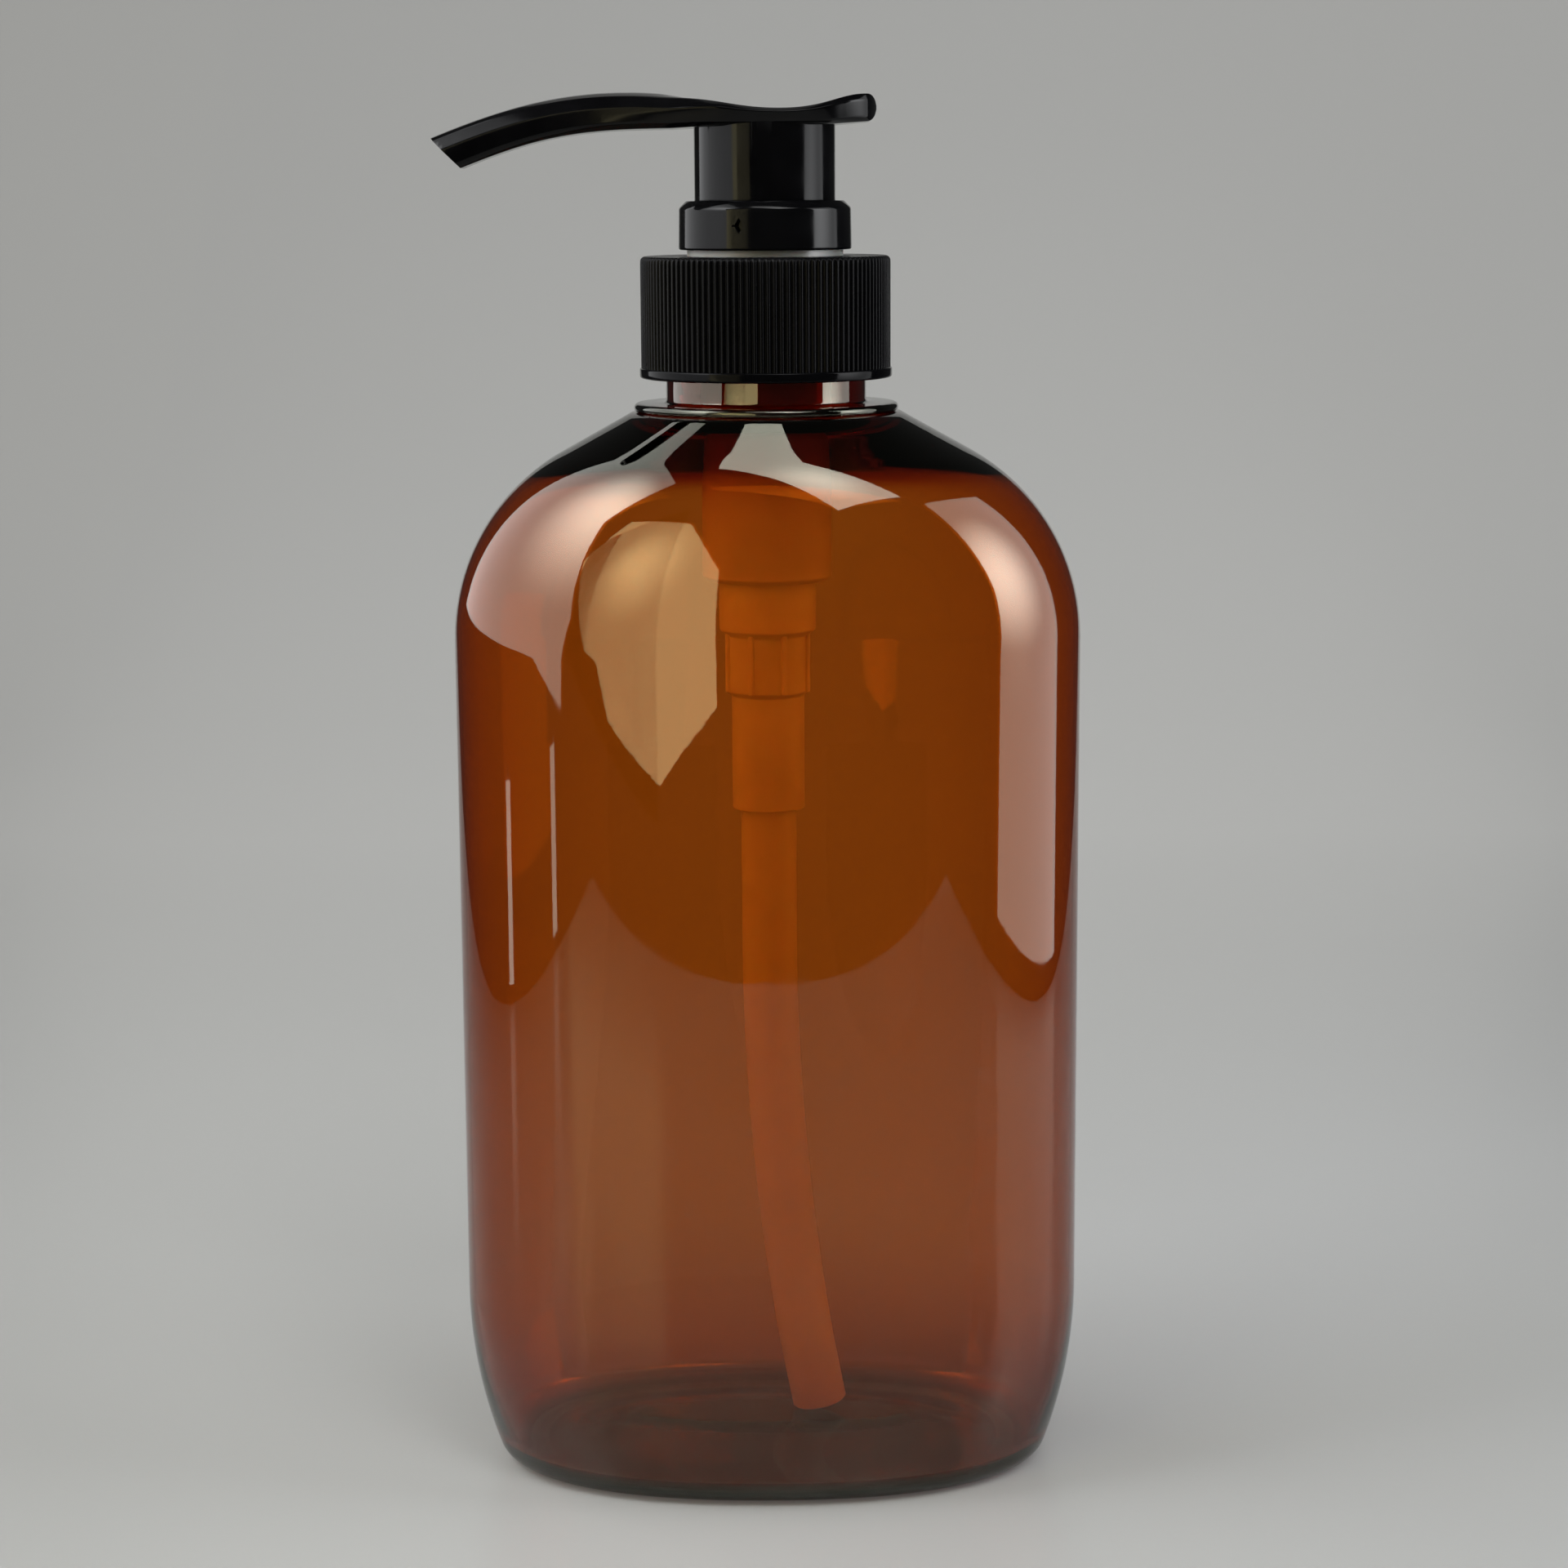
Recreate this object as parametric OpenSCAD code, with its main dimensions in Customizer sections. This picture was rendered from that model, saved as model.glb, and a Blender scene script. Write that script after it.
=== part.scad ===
// Lotion pump dispenser: a flat oval bottle with a left-right lock pump.
// Millimetres, +Z up, origin on the resting plane at the bottle's axis, spout towards -X.

/* [Bottle] */
// Width of the bottle across its broad face
bottle_width = 82.2; // [76:0.2:90]
// Depth of the bottle from front to back
bottle_depth = 54; // [50:0.5:60]
// Height at which the straight sides turn into the shoulder
shoulder_start = 112; // [100:1:113]
// Radius of the shoulder curve
shoulder_radius = 28; // [26:0.5:30]
// Wall thickness of the bottle
bottle_wall = 0.8; // [0.6:0.1:1.2]
// Radius of the support bead below the closure
bead_radius = 17.2; // [16.8:0.1:17.6]
// Radius of the plain neck
neck_radius = 13; // [12.8:0.1:13.1]

/* [Closure] */
// Outer radius of the ribbed closure
closure_radius = 16.2; // [15.8:0.1:16.6]
// Number of grip ribs round the closure
closure_ribs = 120; // [60:4:140]
// Radial depth of a grip rib
rib_depth = 0.32; // [0.2:0.02:0.5]
// Axial rise of the neck thread in one turn
thread_pitch = 4.23; // [4:0.01:4.5]

/* [Collar] */
// Outer radius of the lock collar
collar_radius = 11.2; // [11:0.1:12]
// Height of the lock collar
collar_height = 6.2; // [5.5:0.1:6.4]

/* [Pump] */
// Bore radius of the pump chamber
chamber_radius = 7.65; // [7:0.05:7.7]
// Outer radius of the dip tube
tube_radius = 3.65; // [3:0.05:3.7]
// Height of the dip tube's end above the resting plane
tube_end_height = 6; // [6:0.5:20]
// Radius of the stem
stem_radius = 3.5; // [3.3:0.05:3.6]
// Number of coils in the return spring
spring_coils = 10; // [8:1:11]

/* [Head] */
// Outer radius of the head's skirt
skirt_radius = 9.1; // [8.8:0.05:9.1]
// Reach of the spout from the pump's axis
spout_reach = 42.9; // [38:0.1:48]
// Half width of the spout at its tip
spout_tip_half_width = 3.4; // [3:0.1:4.5]

/* [Hidden] */
$fn = 96;
seam = 0.01;
gap = 0.1;

// Bottle outline
ring_points = 72;
half_width = bottle_width / 2;
half_depth = bottle_depth / 2;
oval_power = 2.24;
foot_lean_height = 24;
foot_lean = 4.7;
foot_corner = 2.5;
foot_ring_width = 3;
push_up = 2.6;
floor_thickness = 1.8;
cone_angle = 29;
shoulder_steps = 8;
shoulder_centre = half_width - shoulder_radius;
shoulder_end_x = shoulder_centre + shoulder_radius * sin(cone_angle);
shoulder_end_z = shoulder_start + shoulder_radius * cos(cone_angle);

// Neck
bead_bottom = 141.5;
bead_top = 142.8;
neck_top = 158.2;
neck_bore = 10.9;
thread_crest = 13.7;
thread_turns = 1.25;
thread_start = 148.6;
thread_steps = 40;
thread_fade = 24;

// Closure
closure_bottom = 146;
closure_top = 161.6;
closure_band_height = 1.3;
closure_plate = 1.2;
closure_bore = 14;
closure_thread_crest = 13.3;
closure_thread_drop = 1.46;
closure_edge = 0.7;

// Housing
gasket_thickness = 1;
flange_bottom = neck_top + gasket_thickness;
flange_top = closure_top - closure_plate;
flange_radius = 12.9;
cup_radius = 10.65;
cup_bore = 9.2;
cup_bottom = 151.5;
rim_radius = 10.1;
rim_top = 167.4;
chamber_outer = 8.5;
chamber_bottom = 119.5;
chamber_floor = 121.5;
chamber_cone_height = 2.5;
vent_height = 149;
guide_floor = 152.6;
well_outer = 6.35;
well_bore = 5.2;
well_bottom = 112.3;
well_floor = 111;
ribbed_outer = 5.5;
ribbed_rib = 5.97;
ribbed_bottom = 104.3;
valve_bore = 2.75;
seat_bore = 1.6;
seat_bottom = 103.45;
socket_outer = 4.78;
socket_bottom = 89.2;
tube_top = 100;

// Collar
collar_bottom = 162.4;
collar_top = collar_bottom + collar_height;
collar_chamfer = 0.9;
collar_mark_angle = 253;
collar_mark_size = 1.1;

// Stem and valves
guide_thickness = 2;
guide_top = guide_floor + guide_thickness;
stem_top = 175.5;
stem_bottom = 146;
stem_shoulder_top = guide_floor - 0.3;
stem_shoulder_bottom = 150.6;
stem_shoulder_radius = 5;
stem_bore = 2;
outlet_throat = 1.45;
outlet_throat_bottom = 166;
outlet_seat_bottom = 169.4;
outlet_bore = 2.55;
inlet_ball_radius = 2.38;
outlet_ball_radius = 2.2;
ball_clearance = 0.02;
piston_top = stem_shoulder_bottom;
piston_bottom = 144.6;
piston_lip = 0.9;
seat_plug_radius = stem_bore;
seat_plug_top = 149;
seat_flange_radius = 5;
seat_flange_bottom = 143.4;
seat_passage = 1.1;

// Spring
spring_wire = 0.42;
spring_coil_radius = 4.3;
spring_top = seat_flange_bottom;
cage_top = 112.8;
spring_bottom = cage_top;
spring_steps = 24;
spring_sides = 8;
spring_dead_turns = 1;

// Dip tube
tube_bore = 2.65;
tube_bend_start = 72;
tube_bend_radius = 340;
tube_bend_angle = asin((tube_bend_start - tube_end_height) / tube_bend_radius);

// Head
skirt_bottom = 165.2;
skirt_bore = 7.9;
head_underside = 178.1;
boss_radius = 5.2;
boss_bottom = 167.5;
crest_x = -17.8;
crest_z = 182.4;
saddle_x = 2;
saddle_z = 180.2;
tail_x = 14.4;
tail_z = 182;
tail_half_width = 5.6;
tip_top_z = 176.8;
tip_bottom_x = -spout_reach + 4;
tip_bottom_z = 172.9;
under_x = -12;
under_z = 177.7;
cheek_half_width = 9.7;
curve_steps = 10;
channel_radius = 1.2;
channel_low_z = 177.9;
channel_crest_x = -16;
channel_crest_z = 180.1;
outlet_radius = 1.6;
channel_bend_radius = 64;
channel_bend_angle = 28;
channel_climb = atan((channel_crest_z - channel_low_z) / -channel_crest_x);
bridge_half_width = 2.5;
stop_blade = 0.8;
stop_blade_bottom = 174.7;

function bezier(a, b, c, d, steps) =
  [for (i = [0:steps]) let (t = i / steps, s = 1 - t)
    s * s * s * a + 3 * s * s * t * b + 3 * s * t * t * c + t * t * t * d];
function signed_power(v, p) = sign(v) * pow(abs(v), p);
function oval_ring(w, d, z, power) =
  [for (i = [0:ring_points - 1]) let (t = 360 * i / ring_points)
    [w * signed_power(cos(t), 2 / power), d * signed_power(sin(t), 2 / power), z]];
function foot_inset(z, height) =
  foot_lean * pow(max(foot_lean_height - z, 0) / foot_lean_height, 2)
  + (z < foot_corner ? foot_corner - sqrt(pow(foot_corner, 2) - pow(foot_corner - z, 2)) : 0);
function share(w) = max(0, (w - bead_radius) / (half_width - bead_radius));
function shoulder_depth(w) = w < bead_radius ? w : w - (half_width - half_depth) * share(w);
function shoulder_power(w) = 2 + (oval_power - 2) * share(w);
function foot_ring(inset, z) =
  oval_ring(half_width - inset, half_depth - inset, z, oval_power);
function shoulder_ring(w, z, inset) =
  oval_ring(w - inset, shoulder_depth(w) - inset, z, shoulder_power(w));

foot_edge = foot_inset(0, foot_lean_height);
outer_rings = concat(
  [foot_ring(foot_edge + foot_ring_width + 10, push_up)],
  [foot_ring(foot_edge + foot_ring_width + 3, push_up - 0.8)],
  [foot_ring(foot_edge + foot_ring_width, 0)],
  [for (i = [0:4]) let (z = foot_corner * (1 - cos(90 * i / 5))) foot_ring(foot_inset(z), z)],
  [for (i = [0:5]) let (z = foot_corner + (foot_lean_height - foot_corner) * i / 5)
    foot_ring(foot_inset(z), z)],
  [for (i = [0:shoulder_steps]) let (a = (90 - cone_angle) * i / shoulder_steps)
    shoulder_ring(shoulder_centre + shoulder_radius * cos(a),
      shoulder_start + shoulder_radius * sin(a), 0)],
  [shoulder_ring(15.8, shoulder_end_z + (shoulder_end_x - 15.8) * tan(cone_angle), 0)]
);
inner_radius = shoulder_radius - bottle_wall;
inner_rings = concat(
  [foot_ring(foot_edge + foot_ring_width + 10, push_up + floor_thickness)],
  [foot_ring(foot_edge + foot_ring_width + 2, push_up + floor_thickness - 0.8)],
  [foot_ring(foot_edge + foot_ring_width - 1, floor_thickness)],
  [for (z = [3, 5, 8, 12, 18, foot_lean_height]) foot_ring(foot_inset(z - 1) + bottle_wall, z)],
  [for (i = [0:shoulder_steps]) let (a = (90 - cone_angle) * i / shoulder_steps)
    shoulder_ring(shoulder_centre + shoulder_radius * cos(a),
      shoulder_start + inner_radius * sin(a), bottle_wall)],
  [shoulder_ring(19.5, 139.1, 0)],
  [shoulder_ring(12.6, 141, 0)],
  [shoulder_ring(11.6, 142, 0)],
  [shoulder_ring(11.6, 144, 0)]
);

// Closes a stack of equal rings into one solid with flat ends.
module ring_stack(rings) {
  n = len(rings[0]);
  rows = len(rings);
  points = [for (r = rings) each r];
  sides = [for (k = [0:rows - 2], i = [0:n - 1]) let (j = (i + 1) % n)
    [k * n + i, (k + 1) * n + i, (k + 1) * n + j, k * n + j]];
  bottom = [[for (i = [0:n - 1]) i]];
  top = [[for (i = [n - 1:-1:0]) (rows - 1) * n + i]];
  polyhedron(concat(points), concat(sides, bottom, top), convexity = 6);
}

// Ridge of a screw thread: rooted at root_r, crest at crest_r, rising from z.
module thread_ridge(root_r, crest_r, z, root_half, crest_half) {
  steps = thread_turns * thread_steps;
  total = 360 * thread_turns;
  rings = [for (k = [0:steps]) let (
      a = total * k / steps,
      fade = min(1, a / thread_fade, (total - a) / thread_fade),
      crest = root_r + (crest_r - root_r) * (0.25 + 0.75 * fade),
      rise = z + thread_pitch * a / 360
    )
    [for (p = [[root_r, -root_half], [crest, -crest_half], [crest, crest_half], [root_r, root_half]])
      [p[0] * cos(a), p[0] * sin(a), rise + p[1]]]];
  if (crest_r > root_r) ring_stack([for (r = rings) [r[3], r[2], r[1], r[0]]]);
  else ring_stack(rings);
}

module bottle() {
  color([0.42, 0.2, 0.05, 0.55]) {
    difference() {
      ring_stack(outer_rings);
      ring_stack(inner_rings);
    }
    rotate_extrude() polygon([
      [neck_bore, neck_top - 0.4], [neck_bore + 0.4, neck_top], [neck_radius - 0.4, neck_top],
      [neck_radius, neck_top - 0.4], [neck_radius, bead_top + 0.3], [neck_radius + 0.3, bead_top],
      [bead_radius - 0.3, bead_top], [bead_radius, bead_top - 0.3], [bead_radius, bead_bottom],
      [14, 141.2], [11.6, 141.2], [neck_bore, 142]
    ]);
    thread_ridge(neck_radius - 0.3, thread_crest, thread_start, 1.1, 0.5);
  }
}

module closure_ribbed_wall() {
  pitch = 360 / closure_ribs;
  low = closure_radius - rib_depth;
  linear_extrude(closure_top - closure_bottom) polygon([
    for (i = [0:closure_ribs - 1], p = [[0.04, low], [0.3, closure_radius],
      [0.7, closure_radius], [0.96, low]])
      p[1] * [cos(pitch * (i + p[0])), sin(pitch * (i + p[0]))]
  ]);
}

module closure() {
  band = closure_radius + 0.2;
  height = closure_top - closure_bottom;
  color([0.03, 0.03, 0.035]) {
    translate([0, 0, closure_bottom]) difference() {
      union() {
        intersection() {
          closure_ribbed_wall();
          rotate_extrude() polygon([
            [0, 0], [closure_radius + 1, 0], [closure_radius + 1, height - 1.9],
            [closure_radius - 0.25, height - 0.25], [closure_radius - closure_edge, height], [0, height]
          ]);
        }
        cylinder(h = closure_band_height - 0.3, r = band);
        translate([0, 0, closure_band_height - 0.3]) cylinder(h = 0.3, r1 = band, r2 = band - 0.3);
      }
      translate([0, 0, -1]) cylinder(h = height - closure_plate + 1, r = closure_bore);
      cylinder(h = height + 1, r = rim_radius + gap);
    }
    thread_ridge(closure_bore + 0.3, closure_thread_crest, thread_start - closure_thread_drop, 1.1, 0.5);
  }
}

module neck_gasket() {
  color([0.9, 0.9, 0.88]) translate([0, 0, neck_top]) difference() {
    cylinder(h = gasket_thickness, r = flange_radius);
    translate([0, 0, -1]) cylinder(h = gasket_thickness + 2, r = cup_radius + gap);
  }
}

module lock_collar() {
  inner = rim_radius;
  color([0.02, 0.02, 0.025]) difference() {
    rotate_extrude() polygon([
      [skirt_radius + gap, rim_top], [inner, rim_top], [inner, collar_bottom],
      [collar_radius, collar_bottom], [collar_radius - 0.1, collar_top - collar_chamfer],
      [collar_radius - collar_chamfer, collar_top], [skirt_radius + gap, collar_top]
    ]);
    rotate([0, 0, collar_mark_angle]) translate([collar_radius, 0, collar_bottom + 3.1])
      rotate([45, 0, 0]) cube(collar_mark_size, center = true);
  }
}

module pump_housing() {
  rib_count = 8;
  color([0.85, 0.84, 0.8, 0.85]) {
    difference() {
      rotate_extrude() polygon([
        [0, socket_bottom], [socket_outer, socket_bottom], [socket_outer, ribbed_bottom],
        [ribbed_outer, ribbed_bottom + 0.6], [ribbed_outer, well_bottom],
        [well_outer, well_bottom + 0.7], [well_outer, chamber_bottom],
        [chamber_outer - 0.6, chamber_bottom], [chamber_outer, chamber_bottom + 0.6],
        [chamber_outer, cup_bottom - 1], [cup_radius, cup_bottom + 1],
        [cup_radius, flange_bottom], [flange_radius, flange_bottom],
        [flange_radius, flange_top], [rim_radius, flange_top], [rim_radius, rim_top],
        [0, rim_top]
      ]);
      translate([0, 0, guide_floor]) cylinder(h = 20, r = cup_bore);
      translate([0, 0, chamber_floor]) cylinder(h = 40, r = chamber_radius);
      translate([0, 0, chamber_floor - chamber_cone_height])
        cylinder(h = chamber_cone_height, r1 = well_bore, r2 = chamber_radius);
      translate([0, 0, well_floor]) cylinder(h = 10, r = well_bore);
      translate([0, 0, seat_bottom + valve_bore - seat_bore]) cylinder(h = 20, r = valve_bore);
      translate([0, 0, seat_bottom])
        cylinder(h = valve_bore - seat_bore, r1 = seat_bore, r2 = valve_bore);
      translate([0, 0, 95]) cylinder(h = 20, r = seat_bore);
      translate([0, 0, socket_bottom - 1]) cylinder(h = tube_top - socket_bottom + 1, r = tube_radius);
      for (side = [0, 180]) rotate([0, 0, side]) translate([chamber_radius - 1, 0, vent_height])
        rotate([0, 90, 0]) cylinder(h = 3, r = 0.6, $fn = 32);
    }
    for (i = [0:rib_count - 1]) rotate([0, 0, 360 * (i + 0.5) / rib_count])
      translate([ribbed_outer - 0.3, -0.35, ribbed_bottom + 0.6])
        cube([ribbed_rib - ribbed_outer + 0.3, 0.7, well_bottom - ribbed_bottom - 0.4]);
  }
}

module stem_guide() {
  outer = cup_bore;
  color([0.92, 0.92, 0.9]) difference() {
    union() {
      translate([0, 0, guide_floor]) cylinder(h = guide_thickness, r = outer);
      translate([0, 0, guide_top - seam]) cylinder(h = 1 + seam, r = 5.4);
    }
    translate([0, 0, guide_floor - 1]) cylinder(h = 5, r = stem_radius + 0.06);
    for (i = [0:3]) rotate([0, 0, 90 * i + 45]) translate([7.2, 0, guide_floor - 1])
      cylinder(h = guide_thickness + 2, r = 0.8);
  }
}

module stem() {
  color([0.93, 0.93, 0.91]) difference() {
    union() {
      translate([0, 0, stem_bottom]) cylinder(h = stem_top - stem_bottom, r = stem_radius);
      translate([0, 0, stem_shoulder_bottom])
        cylinder(h = stem_shoulder_top - stem_shoulder_bottom, r = stem_shoulder_radius);
    }
    translate([0, 0, stem_bottom - 1]) cylinder(h = outlet_throat_bottom - stem_bottom + 1, r = stem_bore);
    translate([0, 0, outlet_throat_bottom - 1]) cylinder(h = 5, r = outlet_throat);
    translate([0, 0, outlet_seat_bottom])
      cylinder(h = outlet_bore - outlet_throat, r1 = outlet_throat, r2 = outlet_bore);
    translate([0, 0, outlet_seat_bottom + outlet_bore - outlet_throat])
      cylinder(h = 8, r = outlet_bore);
  }
}

module piston() {
  seal = chamber_radius - 0.05;
  waist = seal - 1.1;
  color([0.96, 0.96, 0.94]) rotate_extrude() polygon([
    [stem_radius, piston_bottom + 0.8], [waist - 0.8, piston_bottom + 0.8],
    [seal - 0.5, piston_bottom], [seal, piston_bottom], [seal, piston_bottom + piston_lip],
    [waist, piston_bottom + 2.2], [waist, piston_top - 2.2], [seal, piston_top - piston_lip],
    [seal, piston_top], [seal - 0.5, piston_top], [waist - 0.8, piston_top - 1],
    [waist - 0.8, piston_top], [stem_radius, piston_top]
  ]);
}

module piston_seat() {
  foot = stem_bottom - seat_flange_bottom;
  color([0.9, 0.9, 0.88]) difference() {
    union() {
      translate([0, 0, stem_bottom - seam])
        cylinder(h = seat_plug_top - stem_bottom + seam, r = seat_plug_radius);
      translate([0, 0, seat_flange_bottom]) cylinder(h = foot - 0.6, r = 3.4);
      translate([0, 0, seat_flange_bottom]) cylinder(h = 1, r = seat_flange_radius);
      translate([0, 0, seat_flange_bottom + foot - 0.7]) cylinder(h = 0.7, r = stem_radius - 0.1);
    }
    translate([0, 0, seat_flange_bottom - 1]) cylinder(h = 10, r = seat_passage);
  }
}

module return_spring() {
  active = spring_coils - 2 * spring_dead_turns;
  rise = spring_top - spring_bottom - 2 * spring_wire;
  dead_rise = 2 * spring_wire + 0.05;
  pitch = (rise - 2 * spring_dead_turns * dead_rise) / active;
  function lift(turn) =
    turn < spring_dead_turns ? turn * dead_rise :
    turn < spring_dead_turns + active ? spring_dead_turns * dead_rise + (turn - spring_dead_turns) * pitch :
    rise - (spring_coils - turn) * dead_rise;
  rings = [for (k = [0:spring_coils * spring_steps]) let (
      turn = k / spring_steps,
      a = 360 * turn
    )
    [for (s = [0:spring_sides - 1]) let (
        b = 360 * s / spring_sides,
        r = spring_coil_radius + spring_wire * cos(b)
      )
      [r * cos(a), r * sin(a), spring_bottom + spring_wire + lift(turn) + spring_wire * sin(b)]]];
  color([0.75, 0.76, 0.78]) ring_stack([for (r = rings) [for (i = [spring_sides - 1:-1:0]) r[i]]]);
}

module ball_cage() {
  pin_bottom = 109.6;
  color([0.9, 0.9, 0.88]) difference() {
    union() {
      translate([0, 0, well_floor]) cylinder(h = cage_top - well_floor, r = well_bore);
      translate([0, 0, pin_bottom]) cylinder(h = well_floor - pin_bottom + seam, r = valve_bore - gap);
    }
    for (i = [0:2]) rotate([0, 0, 120 * i + 60]) translate([1.55, 0, pin_bottom - 1])
      cylinder(h = 6, r = 0.8);
  }
}

module inlet_ball() {
  contact = inlet_ball_radius * cos(45);
  color([0.8, 0.8, 0.82])
    translate([0, 0, seat_bottom + contact - seat_bore + contact + ball_clearance])
      sphere(r = inlet_ball_radius);
}

module outlet_ball() {
  contact = outlet_ball_radius * cos(45);
  color([0.8, 0.8, 0.82])
    translate([0, 0, outlet_seat_bottom + contact - outlet_throat + contact + ball_clearance])
      sphere(r = outlet_ball_radius);
}

module tube_ring() {
  difference() {
    circle(r = tube_radius);
    circle(r = tube_bore);
  }
}

module dip_tube() {
  color([0.94, 0.94, 0.92]) {
    translate([0, 0, tube_bend_start]) linear_extrude(tube_top - tube_bend_start) tube_ring();
    translate([tube_bend_radius, 0, tube_bend_start]) rotate([90, 0, 0]) rotate([0, 0, 180])
      rotate_extrude(angle = tube_bend_angle, $fn = 360)
        translate([tube_bend_radius, 0]) tube_ring();
  }
}

module head_side_outline() {
  tip = [-spout_reach, tip_top_z];
  tip_low = [tip_bottom_x, tip_bottom_z];
  polygon(concat(
    bezier(tip, tip + [9, 3.6], [crest_x - 9, crest_z], [crest_x, crest_z], curve_steps),
    bezier([crest_x + 1, crest_z], [crest_x + 9, crest_z], [saddle_x - 7, saddle_z],
      [saddle_x, saddle_z], curve_steps),
    bezier([saddle_x + 0.5, saddle_z], [saddle_x + 6, saddle_z], [tail_x - 5, tail_z],
      [tail_x - 1.3, tail_z], curve_steps),
    [[tail_x - 0.5, tail_z - 0.3], [tail_x, tail_z - 1.1], [tail_x, tail_z - 2.6],
      [tail_x - 0.7, tail_z - 3.4]],
    [[skirt_radius - 1, head_underside], [1 - skirt_radius, head_underside - 0.2]],
    bezier([under_x, under_z], [under_x - 12, under_z], tip_low + [10, 3.9], tip_low, curve_steps)
  ));
}

// Half of the head's plan, from the spout's tip over the cheek to the tail.
function head_half_plan() = concat(
  bezier([-spout_reach - 1, spout_tip_half_width], [-30, 4.1], [-19, 5.4], [-11.5, 7.7], curve_steps),
  bezier([-11, 7.85], [-7.5, 9.1], [-4, cheek_half_width], [0, cheek_half_width], curve_steps),
  bezier([0.5, cheek_half_width], [4.5, cheek_half_width], [7.5, 8.6], [9.5, 7.4], curve_steps),
  bezier([9.8, 7.2], [12.6, tail_half_width], [tail_x, 4], [tail_x, 0.3], curve_steps)
);

module head_plan_outline() {
  half = head_half_plan();
  count = len(half);
  polygon(concat(half, [for (i = [count - 1:-1:0]) [half[i][0], -half[i][1]]]));
}

module head_channel() {
  climb_length = sqrt(pow(channel_crest_x, 2) + pow(channel_crest_z - channel_low_z, 2));
  translate([0, 0, channel_low_z]) rotate([0, channel_climb - 90, 0])
    cylinder(h = climb_length + 0.4, r = channel_radius);
  translate([channel_crest_x, 0, channel_crest_z - channel_bend_radius]) rotate([90, 0, 0])
    rotate([0, 0, 90]) rotate_extrude(angle = channel_bend_angle, $fn = 360)
      translate([channel_bend_radius, 0]) circle(r = channel_radius);
  translate([-spout_reach + 2.2, 0, (tip_top_z + tip_bottom_z) / 2 + 0.2]) rotate([0, 66, 0])
    translate([0, 0, -3]) cylinder(h = 5, r = outlet_radius);
}

module actuator_head() {
  color([0.02, 0.02, 0.025]) difference() {
    union() {
      intersection() {
        translate([0, 20, 0]) rotate([90, 0, 0]) linear_extrude(40) head_side_outline();
        translate([0, 0, 165]) linear_extrude(20) head_plan_outline();
      }
      translate([0, 0, skirt_bottom]) difference() {
        cylinder(h = head_underside + 1 - skirt_bottom, r = skirt_radius);
        translate([0, 0, -1]) cylinder(h = head_underside - skirt_bottom + 0.5, r = skirt_bore);
      }
      translate([0, 0, boss_bottom]) cylinder(h = head_underside + 0.5 - boss_bottom, r = boss_radius);
      translate([-skirt_bore - 0.5, -bridge_half_width, channel_low_z - bridge_half_width])
        cube([skirt_bore + 0.5, 2 * bridge_half_width, head_underside + 0.5 - channel_low_z + bridge_half_width]);
    }
    translate([0, 0, boss_bottom - 1]) cylinder(h = stem_top - boss_bottom + 1, r = stem_radius);
    translate([0, 0, stem_top - 1]) cylinder(h = channel_low_z + 1 - stem_top + 1, r = 1.7);
    head_channel();
  }
  color([0.02, 0.02, 0.025]) translate([-outlet_bore + gap, -stop_blade / 2, stop_blade_bottom])
    cube([2 * (outlet_bore - gap), stop_blade, stem_top - stop_blade_bottom + 0.5]);
}

bottle();
closure();
neck_gasket();
lock_collar();
pump_housing();
stem_guide();
actuator_head();
stem();
piston();
piston_seat();
return_spring();
ball_cage();
inlet_ball();
outlet_ball();
dip_tube();
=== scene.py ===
import math

import bmesh
import bpy
from mathutils import Matrix, Vector


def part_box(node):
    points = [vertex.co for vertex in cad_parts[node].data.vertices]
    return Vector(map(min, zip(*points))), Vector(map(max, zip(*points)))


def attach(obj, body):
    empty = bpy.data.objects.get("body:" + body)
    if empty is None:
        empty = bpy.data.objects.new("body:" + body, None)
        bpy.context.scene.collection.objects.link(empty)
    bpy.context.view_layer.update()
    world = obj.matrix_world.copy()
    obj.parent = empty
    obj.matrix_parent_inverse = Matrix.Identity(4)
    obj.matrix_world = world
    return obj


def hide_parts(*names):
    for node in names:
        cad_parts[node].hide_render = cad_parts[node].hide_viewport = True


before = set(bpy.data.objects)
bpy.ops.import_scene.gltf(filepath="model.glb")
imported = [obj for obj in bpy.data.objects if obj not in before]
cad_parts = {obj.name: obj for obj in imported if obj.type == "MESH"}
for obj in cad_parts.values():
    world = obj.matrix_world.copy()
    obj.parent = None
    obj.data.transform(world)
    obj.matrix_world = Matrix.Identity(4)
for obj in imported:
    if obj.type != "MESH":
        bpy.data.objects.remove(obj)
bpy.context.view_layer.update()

MM = 0.001

# Sizes below are in millimetres, in the frame of the part, with z = 0 on the resting plane.

# ---------------------------------------------------------------- frame sizes


def node_box(node):
    low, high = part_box(node)
    return Vector(low) / MM, Vector(high) / MM


BOTTLE_HIGH = node_box("bottle")[1]
CLOSURE_LOW, CLOSURE_HIGH = node_box("closure")
COLLAR_LOW, COLLAR_HIGH = node_box("lock_collar")
HEAD_LOW, HEAD_HIGH = node_box("actuator_head")

HALF_WIDTH = BOTTLE_HIGH.x
HALF_DEPTH = BOTTLE_HIGH.y
NECK_TOP = BOTTLE_HIGH.z

# ---------------------------------------------------------------- curve helpers


def bezier(a, b, c, d, t):
    s = 1 - t
    return s * s * s * a + 3 * s * s * t * b + 3 * s * t * t * c + t * t * t * d


def curve_points(a, b, c, d, steps):
    corners = [Vector(p) for p in (a, b, c, d)]
    return [bezier(*corners, i / steps) for i in range(steps + 1)]


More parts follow.
